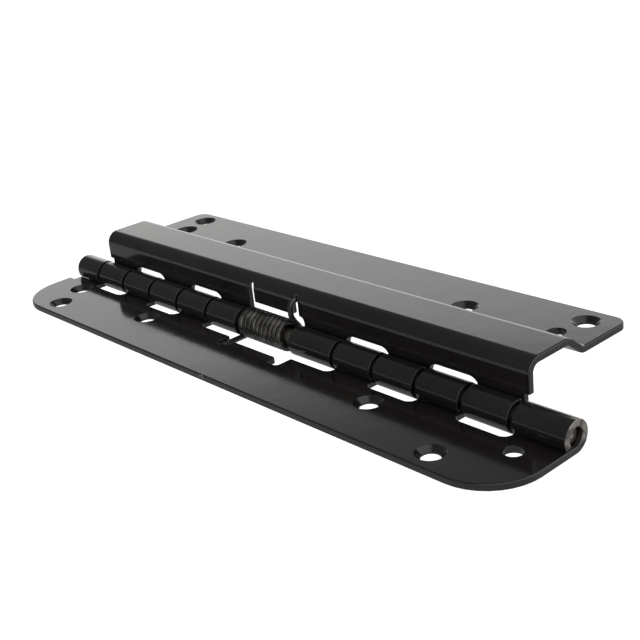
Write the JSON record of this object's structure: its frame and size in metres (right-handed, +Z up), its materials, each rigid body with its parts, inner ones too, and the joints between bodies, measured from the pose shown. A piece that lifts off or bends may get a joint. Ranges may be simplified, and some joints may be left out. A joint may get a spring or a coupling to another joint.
{
  "type": "piano hinge",
  "caption": "Spring-loaded piano hinge: a flat lower leaf and a stepped upper leaf with interlocked rolled knuckles on one long pin, and a torsion spring midway.",
  "frame": {"origin": "on the lower leaf's flat seating face, at mid length, midway between the knuckle slots and the front edge", "axes": "+X along the hinge pin, +Y from the lower leaf's front edge towards the upper leaf, +Z up out of the seating face"},
  "size_m": [0.2212, 0.0755, 0.0192],
  "materials": {
    "leaf_paint": "gloss",
    "pin_steel": "satin",
    "spring_black": "semi-gloss"
  },
  "bodies": {
    "lower": {"lower_leaf": "leaf_paint", "hinge_pin": "pin_steel", "torsion_spring": "spring_black"},
    "upper": {"upper_leaf": "leaf_paint"}
  },
  "joints": [
    {"name": "leaf_hinge", "type": "hinge", "parent": "lower", "child": "upper", "pos_m": [0, 0.01805, 0.00455], "axis": [1, 0, 0], "range_deg": [-90, 110], "stiffness_Nm_per_rad": 0.38, "springref_deg": 4.7, "deforming": ["torsion_spring"]}
  ]
}
